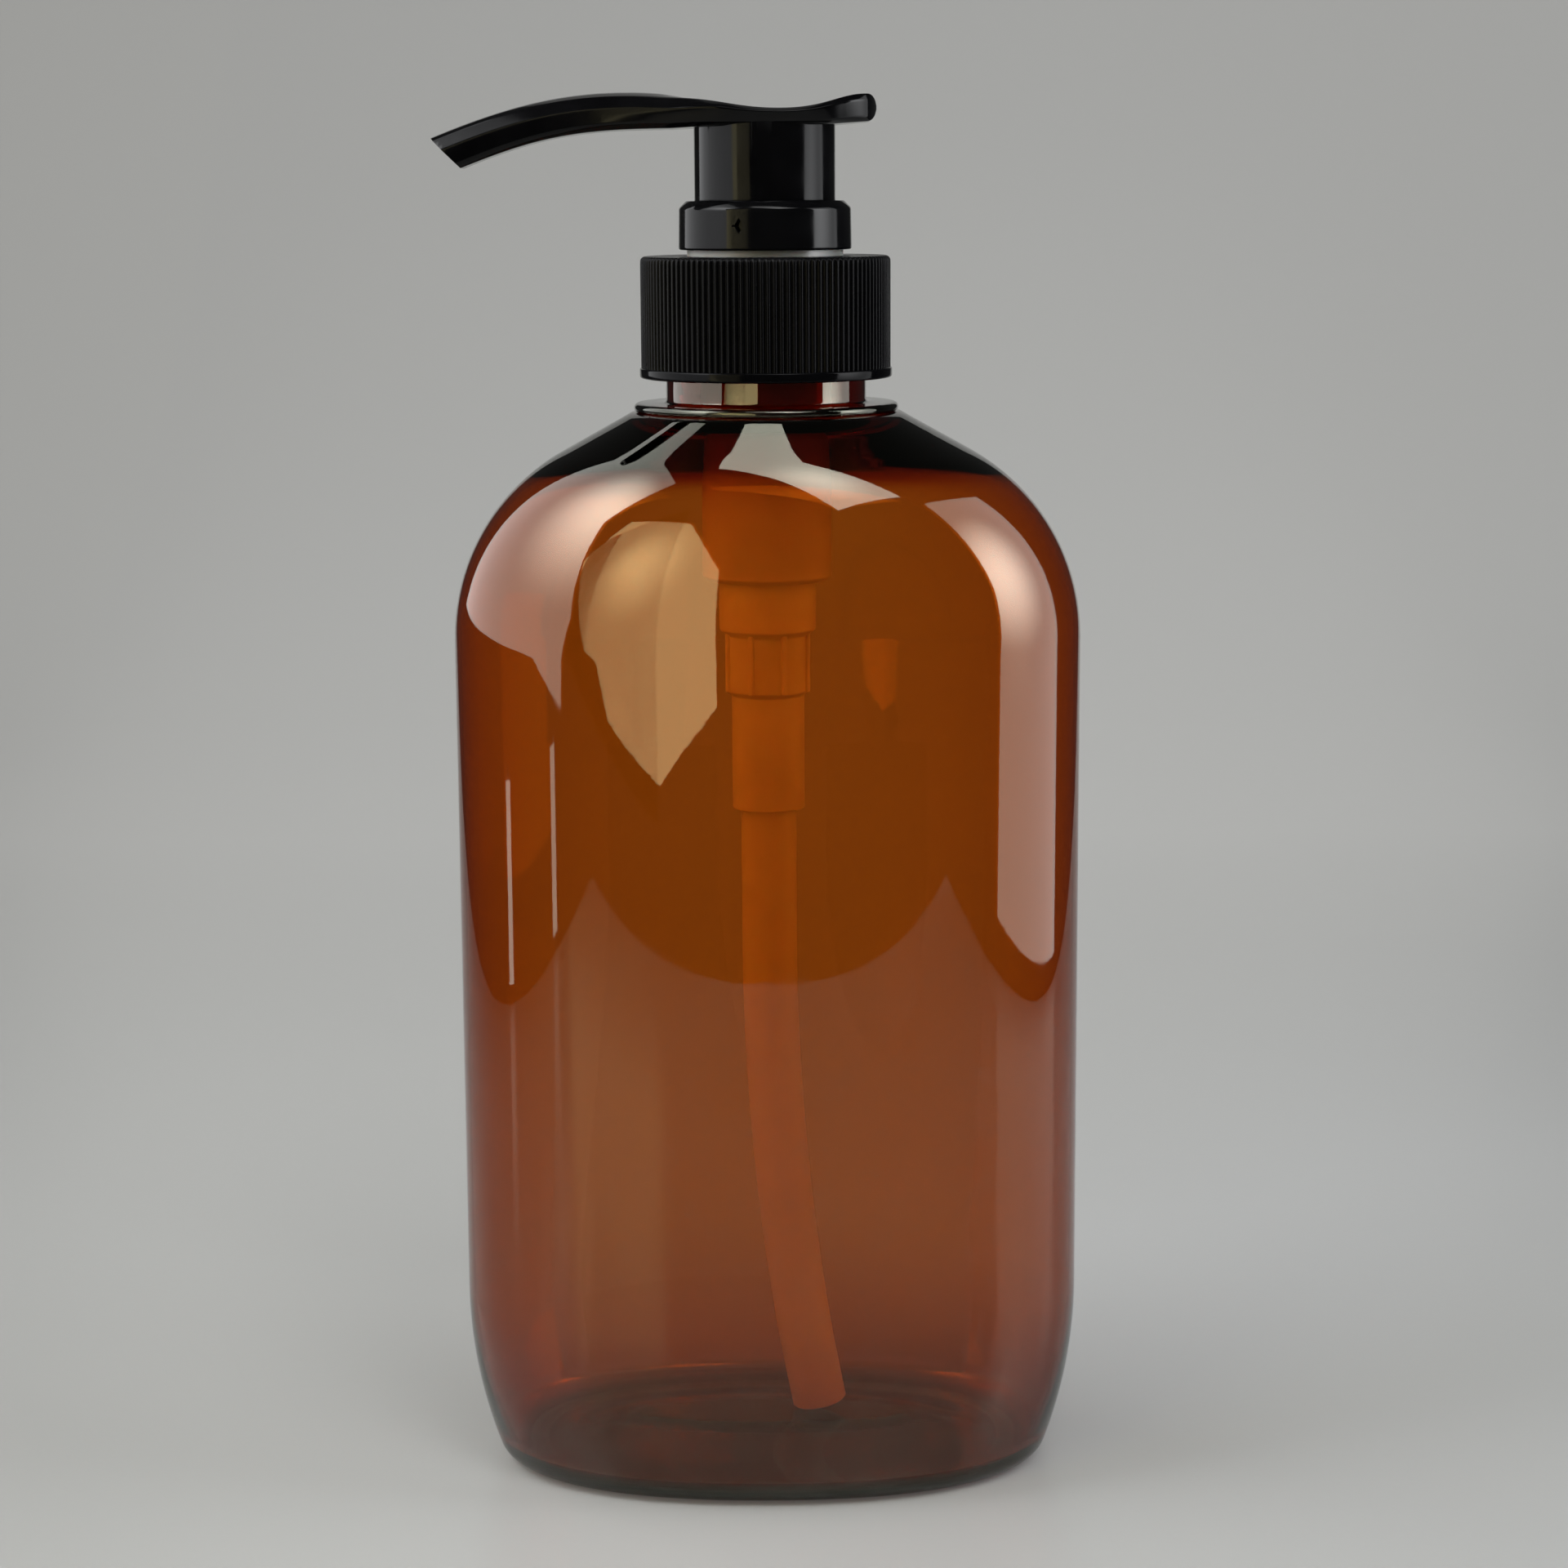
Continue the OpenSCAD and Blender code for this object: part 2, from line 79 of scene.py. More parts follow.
def height_at(points, x):
    """Height of a polyline of rising x at x."""
    for p, q in zip(points, points[1:]):
        if p.x <= x <= q.x and q.x > p.x:
            return p.y + (q.y - p.y) * (x - p.x) / (q.x - p.x)
    return points[0].y if x < points[0].x else points[-1].y


def signed_power(value, power):
    return math.copysign(abs(value) ** power, value)


def smooth_step(value):
    t = min(max(value, 0.0), 1.0)
    return t * t * (3 - 2 * t)


def arc(centre_r, centre_z, radius, start, end, steps):
    """Points (r, z) along an arc in a profile, angles in degrees."""
    angles = [math.radians(start + (end - start) * i / steps) for i in range(steps + 1)]
    return [(centre_r + radius * math.cos(a), centre_z + radius * math.sin(a)) for a in angles]


def rounded(profile, radius, steps=4):
    """Closed profile of (r, z) corners with each corner rounded, except those on the axis."""
    result = []
    count = len(profile)
    for i, corner in enumerate(profile):
        here = Vector(corner)
        before = Vector(profile[i - 1]) - here
        after = Vector(profile[(i + 1) % count]) - here
        reach = min(radius, before.length * 0.45, after.length * 0.45)
        if here.x < 1e-6 or reach < 1e-4:
            result.append((here.x, here.y))
            continue
        first = here + before.normalized() * reach
        last = here + after.normalized() * reach
        for k in range(steps + 1):
            t = k / steps
            p = first.lerp(here, t).lerp(here.lerp(last, t), t)
            result.append((p.x, p.y))
    return result


# ---------------------------------------------------------------- mesh helpers


def new_object(name, bm, smooth_angle=32):
    for v in bm.verts:
        v.co *= MM
    bmesh.ops.recalc_face_normals(bm, faces=bm.faces)
    mesh = bpy.data.meshes.new(name)
    bm.to_mesh(mesh)
    bm.free()
    piece = bpy.data.objects.new(name, mesh)
    bpy.context.scene.collection.objects.link(piece)
    shade(mesh, smooth_angle)
    return piece


def shade(mesh, smooth_angle):
    mesh.shade_smooth()
    mesh.set_sharp_from_angle(angle=math.radians(smooth_angle))


def grid_faces(bm, rings, closed_rows=False):
    """Joins rings of vertices, each ring closed on itself, into quads."""
    rows = list(zip(rings, rings[1:]))
    if closed_rows:
        rows.append((rings[-1], rings[0]))
    for low, high in rows:
        count = len(low)
        for i in range(count):
            j = (i + 1) % count
            bm.faces.new((low[i], low[j], high[j], high[i]))


def loft(rings):
    """Solid between a first and a last ring, both closed by a fan to their middle."""
    bm = bmesh.new()
    rows = [[bm.verts.new(p) for p in ring] for ring in rings]
    grid_faces(bm, rows)
    for row in (rows[0], rows[-1]):
        middle = bm.verts.new(sum((v.co for v in row), Vector()) / len(row))
        for i, v in enumerate(row):
            bm.faces.new((v, row[(i + 1) % len(row)], middle))
    return bm


def tube_of(rings):
    """Ring shaped solid through rings that end where they begin."""
    bm = bmesh.new()
    rows = [[bm.verts.new(p) for p in ring] for ring in rings]
    grid_faces(bm, rows, closed_rows=True)
    return bm


def ring_at(radius, z, count):
    turns = (math.tau * i / count for i in range(count))
    return [Vector((radius * math.cos(a), radius * math.sin(a), z)) for a in turns]


def lathe(profile, count=128):
    """Ring shaped solid: a closed profile of (r, z) points turned about the axis."""
    return tube_of([ring_at(r, z, count) for r, z in profile])


def apply_boolean(piece, other, operation):
    cut = piece.modifiers.new("cut", "BOOLEAN")
    cut.operation = operation
    cut.solver = "EXACT"
    cut.object = other
    bake_modifiers(piece)
    bpy.data.objects.remove(other, do_unlink=True)


def bake_modifiers(piece):
    """Puts the result of a piece's modifiers in its mesh."""
    bpy.context.view_layer.update()
    done = bpy.data.meshes.new_from_object(piece.evaluated_get(bpy.context.evaluated_depsgraph_get()))
    piece.modifiers.clear()
    piece.data = done


# ---------------------------------------------------------------- material helpers


def new_material(name, **inputs):
    material = bpy.data.materials.new(name)
    material.use_nodes = True
    shader = material.node_tree.nodes["Principled BSDF"]
    for key, value in inputs.items():
        shader.inputs[key.replace("_", " ")].default_value = value
    return material, material.node_tree, shader


def map_range(tree, limits, kind="LINEAR"):
    """Map Range node: limits are from low, from high, to low and to high."""
    node = tree.nodes.new("ShaderNodeMapRange")
    node.interpolation_type = kind
    for key, value in zip(("From Min", "From Max", "To Min", "To Max"), limits):
        node.inputs[key].default_value = value
    return node


def combine(tree, operation, first, second):
    """Math node on two outputs."""
    node = tree.nodes.new("ShaderNodeMath")
    node.operation = operation
    tree.links.new(first, node.inputs[0])
    tree.links.new(second, node.inputs[1])
    return node.outputs["Value"]


def object_place(tree):
    """Where a point is in the object's own space, in metres."""
    return tree.nodes.new("ShaderNodeTexCoord").outputs["Object"]


def object_axis(tree, axis):
    split = tree.nodes.new("ShaderNodeSeparateXYZ")
    tree.links.new(object_place(tree), split.inputs[0])
    return split.outputs[axis]


def noise(tree, scale, detail=3.0):
    """Noise in the object's own space, with scale in features per metre."""
    texture = tree.nodes.new("ShaderNodeTexNoise")
    texture.inputs["Scale"].default_value = scale
    texture.inputs["Detail"].default_value = detail
    tree.links.new(object_place(tree), texture.inputs["Vector"])
    return texture


def vary_roughness(tree, shader, texture, low, high):
    """Maps a texture's middle range to roughness from low to high."""
    node = map_range(tree, (0.35, 0.65, low, high))
    tree.links.new(texture.outputs[0], node.inputs["Value"])
    tree.links.new(node.outputs["Result"], shader.inputs["Roughness"])


def add_bump(tree, shader, texture, distance, strength=1.0, under=None):
    bump = tree.nodes.new("ShaderNodeBump")
    bump.inputs["Strength"].default_value = strength
    bump.inputs["Distance"].default_value = distance
    tree.links.new(texture.outputs[0], bump.inputs["Height"])
    if under is not None:
        tree.links.new(under.outputs["Normal"], bump.inputs["Normal"])
    tree.links.new(bump.outputs["Normal"], shader.inputs["Normal"])
    return bump


def tint(tree, shader, texture, dark, light):
    ramp = tree.nodes.new("ShaderNodeValToRGB")
    ramp.color_ramp.elements[0].position = 0.3
    ramp.color_ramp.elements[1].position = 0.7
    ramp.color_ramp.elements[0].color = (*dark, 1)
    ramp.color_ramp.elements[1].color = (*light, 1)
    tree.links.new(texture.outputs[0], ramp.inputs["Fac"])
    tree.links.new(ramp.outputs["Color"], shader.inputs["Base Color"])


# ---------------------------------------------------------------- materials


def amber_material():
    """Clear amber PET: the colour is in the depth of the wall, so thick places are darker."""
    material, tree, shader = new_material(
        "amber_pet", Base_Color=(1, 1, 1, 1), Roughness=0.02, IOR=1.575, Transmission_Weight=1.0,
        Specular_Tint=(1.0, 1.0, 0.8, 1)
    )
    depth = tree.nodes.new("ShaderNodeVolumeAbsorption")
    depth.inputs["Color"].default_value = (0.862, 0.585, 0.03, 1)
    depth.inputs["Density"].default_value = 3600
    tree.links.new(depth.outputs["Volume"], tree.nodes["Material Output"].inputs["Volume"])
    ripple = noise(tree, 45, detail=1.0)
    grain = noise(tree, 900, detail=2.0)
    soft = add_bump(tree, shader, ripple, 0.00003, 0.3)
    add_bump(tree, shader, grain, 0.000002, 0.4, under=soft)
    handled = noise(tree, 140, detail=4.0)
    vary_roughness(tree, shader, handled, 0.0, 0.035)
    return material


def by_height(tree, low_z, high_z, low, high):
    """Value that goes from low to high between two heights in millimetres."""
    node = map_range(tree, (low_z * MM, high_z * MM, low, high))
    tree.links.new(object_axis(tree, "Z"), node.inputs["Value"])
    return node.outputs["Result"]


def black_material(name, rough_low, rough_high, grain_depth, shine):
    material, tree, shader = new_material(name, IOR=1.5, Specular_IOR_Level=shine)
    cloud = noise(tree, 220, detail=5.0)
    tint(tree, shader, cloud, (0.0012, 0.0012, 0.0015), (0.0024, 0.0024, 0.0029))
    vary_roughness(tree, shader, cloud, rough_low, rough_high)
    wave = add_bump(tree, shader, noise(tree, 60, detail=1.0), 0.00006, 0.4)
    add_bump(tree, shader, noise(tree, 4200, detail=2.0), grain_depth, 0.5, under=wave)
    return material


def natural_material(name, dark, light, see_through):
    """Unpigmented plastic: milky, lets some light through."""
    material, tree, shader = new_material(
        name, IOR=1.49, Subsurface_Weight=0.15, Subsurface_Scale=0.001, Transmission_Weight=see_through
    )
    cloud = noise(tree, 120, detail=4.0)
    tint(tree, shader, cloud, dark, light)
    vary_roughness(tree, shader, cloud, 0.28, 0.42)
    add_bump(tree, shader, noise(tree, 1500, detail=3.0), 0.00002, 0.35)
    return material


def housing_material_painted_shade():
    """Natural plastic with painted shade, darker in two steps: the cup in the neck, and the chamber below
    it.
    """
    material = natural_material("natural_housing_painted_shade", (0.80, 0.79, 0.74), (0.92, 0.91, 0.87), 0.0)
    tree = material.node_tree
    shader = tree.nodes["Principled BSDF"]
    plain = shader.inputs["Base Color"].links[0].from_socket
    # Painted shade: the base colour is scaled down above these heights to stand in for the shade inside the
    # neck and under the collar.
    painted_shade_low = by_height(tree, 119, 121, 1.0, 0.8)
    painted_shade_high = by_height(tree, 132, 146, 1.0, 0.35)
    scaled = tree.nodes.new("ShaderNodeVectorMath")
    scaled.operation = "SCALE"
    tree.links.new(plain, scaled.inputs[0])
    tree.links.new(combine(tree, "MULTIPLY", painted_shade_low, painted_shade_high), scaled.inputs["Scale"])
    tree.links.new(scaled.outputs["Vector"], shader.inputs["Base Color"])
    return material


def closure_material():
    """Satin ribs over a glossy band."""
    material = black_material("black_satin_pp", 0.22, 0.32, 0.000006, 0.06)
    tree = material.node_tree
    roughness = tree.nodes["Principled BSDF"].inputs["Roughness"]
    satin = roughness.links[0].from_socket
    share_of_it = by_height(tree, 147.25, 147.45, 0.3, 1.0)
    tree.links.new(combine(tree, "MULTIPLY", satin, share_of_it), roughness)
    return material


def steel_material(name, rough):
    material, tree, shader = new_material(name, Metallic=1.0)
    streak = noise(tree, 1800, detail=4.0)
    tint(tree, shader, streak, (0.52, 0.53, 0.55), (0.66, 0.67, 0.69))
    vary_roughness(tree, shader, streak, rough, rough + 0.12)
    add_bump(tree, shader, noise(tree, 3000, detail=2.0), 0.000004, 0.3)
    return material


AMBER = amber_material()
BLACK_GLOSS = black_material("black_gloss_pp", 0.07, 0.14, 0.0000012, 0.14)
BLACK_SATIN = closure_material()
NATURAL = natural_material("natural_pp", (0.55, 0.54, 0.50), (0.64, 0.63, 0.59), 0.1)
HOUSING_PLASTIC_PAINTED_SHADE = housing_material_painted_shade()
TUBE_PLASTIC = natural_material("natural_tube", (0.80, 0.79, 0.74), (0.88, 0.87, 0.83), 0.0)
SOFT_WHITE = natural_material("soft_white", (0.80, 0.80, 0.77), (0.88, 0.88, 0.85), 0.0)
SPRING_STEEL = steel_material("spring_steel", 0.22)
BALL_STEEL = steel_material("ball_steel", 0.08)


def finish_piece(piece, material, body, node):
    piece.data.materials.clear()
    piece.data.materials.append(material)
    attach(piece, body)
    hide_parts(node)


# ---------------------------------------------------------------- bottle

OVAL_POWER = 2.24
WALL = 0.8
BEAD_RADIUS = 17.2
BEAD_TOP = 142.8
NECK_RADIUS = 13.0
NECK_BORE = 10.9
SHOULDER_START = 112.0
SHOULDER_EXTRA = 1.7
SHOULDER_RADIUS = 28.0
CONE_ANGLE = 29.0
FOOT_LEAN_HEIGHT = 24.0
FOOT_LEAN = 4.7
FOOT_CORNER = 2.5
FOOT_RING = 3.0
PUSH_UP = 2.6
THREAD_PITCH = 4.23
THREAD_TURNS = 1.25
THREAD_START = 148.6
THREAD_HEIGHT = 0.7
BOTTLE_POINTS = 224


def thread_height(angle, z, start, turns=THREAD_TURNS):
    """Height of a rounded thread ridge at an angle in turns and a height in millimetres."""
    best = 0.0
    for lap in range(2):
        turn = angle + lap
        if turn > turns:
            continue
        away = abs(z - (start + THREAD_PITCH * turn))
        fade = smooth_step(min(turn, turns - turn) / 0.07)
        best = max(best, fade * smooth_step((1.1 - away) / 0.62))
    return THREAD_HEIGHT * best


def foot_inset(z):
    lean = FOOT_LEAN * (max(FOOT_LEAN_HEIGHT - z, 0) / FOOT_LEAN_HEIGHT) ** 2
    if z >= FOOT_CORNER:
        return lean
    return lean + FOOT_CORNER - math.sqrt(FOOT_CORNER ** 2 - (FOOT_CORNER - z) ** 2)


def share(width):
    return max(0.0, (width - BEAD_RADIUS) / (HALF_WIDTH - BEAD_RADIUS))


def oval_ring(width, depth, z, power):
    ring = []
    for i in range(BOTTLE_POINTS):
        a = math.tau * i / BOTTLE_POINTS
        x = width * signed_power(math.cos(a), 2 / power)
        y = depth * signed_power(math.sin(a), 2 / power)
        ring.append(Vector((x, y, z)))
    return ring


def foot_ring(inset, z):
    return oval_ring(HALF_WIDTH - inset, HALF_DEPTH - inset, z, OVAL_POWER)


def shoulder_ring(width, z, inset=0.0):
    depth = width if width < BEAD_RADIUS else width - (HALF_WIDTH - HALF_DEPTH) * share(width)
    return oval_ring(width - inset, depth - inset, z, 2 + (OVAL_POWER - 2) * share(width))


def neck_ring(radius, z):
    ring = []
    for i, p in enumerate(ring_at(radius, z, BOTTLE_POINTS)):
        grow = 1 + thread_height(i / BOTTLE_POINTS, z, THREAD_START) / radius
        ring.append(Vector((p.x * grow, p.y * grow, z)))
    return ring


def outer_bottle_rings():
    edge = foot_inset(0)
    inner_edge = edge + FOOT_RING
    rings = []
    for i in range(15):
        t = i / 14
        inset = inner_edge + (1 - t) * (HALF_DEPTH - inner_edge - 0.5)
        rings.append(foot_ring(inset, PUSH_UP * (1 - smooth_step((t - 0.25) / 0.75))))
    rings += [foot_ring(inner_edge + (edge - inner_edge) * t, 0) for t in (0.12, 0.5, 0.9)]
    for i in range(13):
        z = FOOT_CORNER * (1 - math.cos(math.radians(90 * i / 12)))
        rings.append(foot_ring(foot_inset(z), z))
    for i in range(1, 31):
        z = FOOT_CORNER + (FOOT_LEAN_HEIGHT - FOOT_CORNER) * i / 30
        rings.append(foot_ring(foot_inset(z), z))
    rings += [foot_ring(0, z) for z in (40, 60, 80, 100)]
    centre = HALF_WIDTH - SHOULDER_RADIUS
    for i in range(37):
        a = math.radians((90 - CONE_ANGLE) * i / 36)
        x = centre + SHOULDER_RADIUS * math.cos(a)
        rings.append(shoulder_ring(x, SHOULDER_START + SHOULDER_RADIUS * math.sin(a)))
    slope = math.tan(math.radians(CONE_ANGLE))
    end_x, end_z = x, SHOULDER_START + SHOULDER_RADIUS * math.sin(a)
    rings += [shoulder_ring(w, end_z + (end_x - w) * slope) for w in (24.5, 22, 20, 18.4, 17.5)]
    return rings


def neck_rings():
    outline = arc(BEAD_RADIUS - 0.6, BEAD_TOP - 0.62, 0.6, -75, 90, 16)
    outline += [(15, BEAD_TOP)]
    outline += arc(NECK_RADIUS + 0.5, BEAD_TOP + 0.5, 0.5, 270, 180, 5)
    rings = [neck_ring(r, z) for r, z in outline]
    low, high = THREAD_START - 1.4, NECK_TOP - 0.6
    steps = 64
    rings += [neck_ring(NECK_RADIUS, low + (high - low) * i / steps) for i in range(steps + 1)]
    lip = arc(NECK_RADIUS - 0.5, NECK_TOP - 0.5, 0.5, 20, 90, 4)
    lip += arc(NECK_BORE + 0.5, NECK_TOP - 0.5, 0.5, 90, 180, 5)
    lip += [(NECK_BORE, z) for z in (156, 152, 148, 144)]
    lip += [(NECK_BORE + 0.05, 143.0), (NECK_BORE + 0.4, 142.0), (12.1, 141.1), (13.4, 140.4), (15.2, 139.7)]
    rings += [ring_at(r, z, BOTTLE_POINTS) for r, z in lip]
    return rings


def inner_bottle_rings():
    centre = HALF_WIDTH - SHOULDER_RADIUS
    cone = math.radians(90 - CONE_ANGLE)
    end_x = centre + SHOULDER_RADIUS * math.cos(cone)
    end_z = SHOULDER_START + SHOULDER_RADIUS * math.sin(cone)
    line = [(w, end_z + (end_x - w) / math.tan(cone), cone) for w in (18.4, 20, 22, 24.5)]
    for i in range(36, -1, -1):
        a = cone * i / 36
        x = centre + SHOULDER_RADIUS * math.cos(a)
        line.append((x, SHOULDER_START + SHOULDER_RADIUS * math.sin(a), a))
    rings = []
    for width, z, a in line:
        thick = WALL + SHOULDER_EXTRA * smooth_step((33 - width) / 16)
        rings.append(shoulder_ring(width, z - thick * math.sin(a), thick * math.cos(a)))
    rings += [foot_ring(WALL, z) for z in (100, 80, 60, 40)]
    for i in range(24, -1, -1):
        z = 4.5 + (FOOT_LEAN_HEIGHT - 4.5) * i / 24
        rings.append(foot_ring(foot_inset(z - 0.8) + WALL + 0.5 * (1 - i / 24) ** 2, z))
    edge = foot_inset(3.7) + WALL + 0.5
    for i in range(1, 10):
        a = math.radians(90 * i / 9)
        rings.append(foot_ring(edge + 4.2 * (1 - math.cos(a)), 4.5 - 2.7 * math.sin(a)))
    far = edge + 4.2
    for i in range(1, 15):
        t = i / 14
        inset = far + t * (HALF_DEPTH - far - 0.5)
        rings.append(foot_ring(inset, 1.8 + (PUSH_UP + 0.2) * smooth_step((t - 0.1) / 0.7)))
    return rings


def make_bottle():
    rings = outer_bottle_rings() + neck_rings() + inner_bottle_rings()
    piece = new_object("bottle_shell", loft(rings), smooth_angle=60)
    finish_piece(piece, AMBER, "bottle", "bottle")


# ---------------------------------------------------------------- closure

RIBS = 120
RIB_POINTS = 8
RIB_DEPTH = 0.32
CLOSURE_BORE = 14.0
CLOSURE_HOLE = 10.2
CLOSURE_PLATE = 1.2
CLOSURE_THREAD_DROP = 1.46


def ribbed_ring(radius, z, depth):
    """Ring of rounded ribs whose crests lie on radius."""
    count = RIBS * RIB_POINTS
    ring = []
    for i in range(count):
        wave = 0.5 - 0.5 * math.cos(math.tau * i / RIB_POINTS)
        r = radius - depth * (1 - smooth_step(1.25 * wave))
        a = math.tau * i / count
        ring.append(Vector((r * math.cos(a), r * math.sin(a), z)))
    return ring


def make_closure():
    count = RIBS * RIB_POINTS
    low, high = CLOSURE_LOW.z, CLOSURE_HIGH.z
    band = CLOSURE_HIGH.x
    radius = band - 0.2
    rings = [ring_at(r, z, count) for r, z in arc(band - 0.3, low + 0.3, 0.3, 270, 360, 5)]
    rings += [ring_at(r, z, count) for r, z in arc(band - 0.25, low + 1.05, 0.25, 0, 90, 4)]
    rings += [ribbed_ring(radius, low + 1.3 + h, RIB_DEPTH) for h in (0.02, 0.5, 5, 10, 13.3)]
    for i in range(1, 7):
        a = math.radians(15 * i)
        r = radius - 0.7 * (1 - math.cos(a))
        rings.append(ribbed_ring(r, high - 0.7 * (1 - math.sin(a)), RIB_DEPTH * (1 - i / 6)))
    rings += [ring_at(r, high, count) for r in (15, 13, 11.2)]
    rings += [ring_at(r, z, count) for r, z in arc(CLOSURE_HOLE + 0.3, high - 0.3, 0.3, 90, 180, 4)]
    under = high - CLOSURE_PLATE
    rings += [ring_at(r, under, count) for r in (CLOSURE_HOLE, 12, CLOSURE_BORE - 0.4)]
    rings.append(ring_at(CLOSURE_BORE, under - 0.4, count))
    start = THREAD_START - CLOSURE_THREAD_DROP
    steps = 60
    for k in range(steps + 1):
        z = under - 1 - (under - 1 - low - 0.5) * k / steps
        ring = []
        for i, p in enumerate(ring_at(CLOSURE_BORE, z, count)):
            shrink = 1 - thread_height(i / count, z, start) / CLOSURE_BORE
            ring.append(Vector((p.x * shrink, p.y * shrink, z)))
        rings.append(ring)
    rings.append(ring_at(CLOSURE_BORE + 0.3, low, count))
    piece = new_object("closure_cap", tube_of(rings), smooth_angle=50)
    finish_piece(piece, BLACK_SATIN, "closure", "closure")


# ---------------------------------------------------------------- lock collar

MARK_ANGLE = 253.0
MARK_WIDTH = 0.62
MARK_HEIGHT = 0.95
MARK_DEPTH = 0.9


def mark_sink(angle, z, middle_z):
    """Depth of the small diamond sunk in the collar's wall."""
    across = (angle - math.radians(MARK_ANGLE)) * COLLAR_HIGH.x
    away = abs(across) / MARK_WIDTH + abs(z - middle_z) / MARK_HEIGHT
    return MARK_DEPTH * smooth_step((1.0 - away) / 0.16)


def collar_angles():
    angles = []
    degrees = 0.0
    while degrees < 360:
        angles.append(math.radians(degrees))
        degrees += 0.25 if abs(degrees - MARK_ANGLE) < 4 else 2.0
    return angles


def make_collar():
    low, high = COLLAR_LOW.z, COLLAR_HIGH.z
    outer = COLLAR_HIGH.x
    inner = 10.1
    hole = 9.2
    middle = low + 3.1
    wall = [(outer - 0.1 * (z - low) / (high - low), z) for z in
            [low + 0.4 + (high - low - 1.5) * i / 40 for i in range(41)]]
    profile = [(inner, low)] + arc(outer - 0.3, low + 0.3, 0.3, 270, 350, 4) + wall
    profile += [(outer - 0.16, high - 0.85), (outer - 0.9, high - 0.1)]
    profile += [(outer - 1.05, high), (hole + 0.25, high), (hole, high - 0.2)]
    profile += [(hole, high - 1.2), (inner, high - 1.2)]
    rings = []
    for r, z in profile:
        on_wall = r > outer - 0.13
        ring = []
        for a in collar_angles():
            sunk = r - (mark_sink(a, z, middle) if on_wall else 0)
            ring.append(Vector((sunk * math.cos(a), sunk * math.sin(a), z)))
        rings.append(ring)
    piece = new_object("lock_collar_ring", tube_of(rings))
    finish_piece(piece, BLACK_GLOSS, "pump", "lock_collar")


# ---------------------------------------------------------------- pump housing and dip tube

HOUSING_RIBS = 8


def make_housing():
    profile = [
        (4.78, 89.2), (4.78, 104.3), (5.5, 104.9), (5.5, 112.3), (6.35, 113), (6.35, 119.5),
        (7.9, 119.5), (8.5, 120.1), (8.5, 150.5), (10.65, 152.5), (10.65, 159.2), (12.9, 159.2),
        (12.9, 160.4), (10.1, 160.4), (10.1, 167.4), (9.2, 167.4), (9.2, 152.6), (7.65, 152.6),
        (7.65, 121.5), (5.2, 119), (5.2, 111), (2.75, 111), (2.75, 104.6), (1.6, 103.45),
        (1.6, 100), (3.65, 100), (3.65, 89.2)
    ]
    piece = new_object("housing_body", lathe(rounded(profile, 0.22), 160))
    for i in range(HOUSING_RIBS):
        rib = rib_piece(math.tau * (i + 0.5) / HOUSING_RIBS)
        apply_boolean(piece, rib, "UNION")
    shade(piece.data, 32)
    finish_piece(piece, HOUSING_PLASTIC_PAINTED_SHADE, "pump", "pump_housing")


def rib_piece(angle):
    """Rounded upright rib on the valve section."""
    half, low, high = 0.35, 104.95, 112.75
    outline = [(5.2, -half), (5.8, -half), (5.93, -0.22), (5.97, 0), (5.93, 0.22), (5.8, half), (5.2, half)]
    turn = Matrix.Rotation(angle, 3, "Z")
    rings = [[turn @ Vector((x, y, z)) for x, y in outline] for z in (low, high)]
    return new_object("rib", loft(rings))


TUBE_OUTER = 3.65
TUBE_BORE = 2.65
TUBE_TOP = 100.0
TUBE_BEND_START = 72.0
TUBE_BEND_RADIUS = 340.0


def tube_frame(drop):
    """Centre and outward direction of the tube, at a length drop below the start of its bend."""
    a = max(drop, 0) / TUBE_BEND_RADIUS
    z = TUBE_BEND_START - (TUBE_BEND_RADIUS * math.sin(a) if drop >= 0 else drop)
    centre = Vector((TUBE_BEND_RADIUS * (1 - math.cos(a)), 0, z))
    return centre, Vector((math.cos(a), 0, math.sin(a)))


def tube_ring(radius, drop, count=72):
    centre, side = tube_frame(drop)
    across = Vector((0, 1, 0))
    turns = (math.tau * i / count for i in range(count))
    return [centre + radius * (side * math.cos(t) + across * math.sin(t)) for t in turns]


def make_tube():
    bend = math.asin((TUBE_BEND_START - 6.0) / TUBE_BEND_RADIUS)
    end = bend * TUBE_BEND_RADIUS
    start = TUBE_BEND_START - TUBE_TOP
    drops = [start + (end - start) * i / 90 for i in range(91)]
    soft = 0.15
    rings = [tube_ring(TUBE_OUTER - soft, start)]
    rings += [tube_ring(TUBE_OUTER, d) for d in [start + soft] + drops[1:-1] + [end - soft]]
    rings += [tube_ring(TUBE_OUTER - soft, end), tube_ring(TUBE_BORE, end)]
    rings += [tube_ring(TUBE_BORE, d) for d in reversed(drops[:-1])]
    piece = new_object("dip_tube_hose", tube_of(rings))
    finish_piece(piece, TUBE_PLASTIC, "pump", "dip_tube")


# ---------------------------------------------------------------- actuator head

SPOUT_REACH = -HEAD_LOW.x
TAIL_X = HEAD_HIGH.x
CREST = (-17.8, 182.4)
SADDLE = (2.0, 180.2)
TAIL_Z = 182.0
SKIRT_OUTER = 9.1
SKIRT_BORE = 7.9
TIP_TOP = (-42.9, 176.8)
TIP_LOW = (-38.9, 172.9)
CHEEK = 9.7
HEAD_SOFTNESS = 1.6 / 12


def head_top_line():
    ahead = Vector(TIP_TOP) + Vector((-4, -1.75))
    line = [ahead]
    line += curve_points(TIP_TOP, (-33.9, 180.4), (-26.8, 182.4), CREST, 24)
    line += curve_points(CREST, (-8.8, 182.4), (-5, 180.2), SADDLE, 24)[1:]
    line += curve_points(SADDLE, (8, 180.2), (9.4, 182), (TAIL_X - 1.3, TAIL_Z), 16)[1:]
    line += [Vector((TAIL_X, TAIL_Z))]
    return line


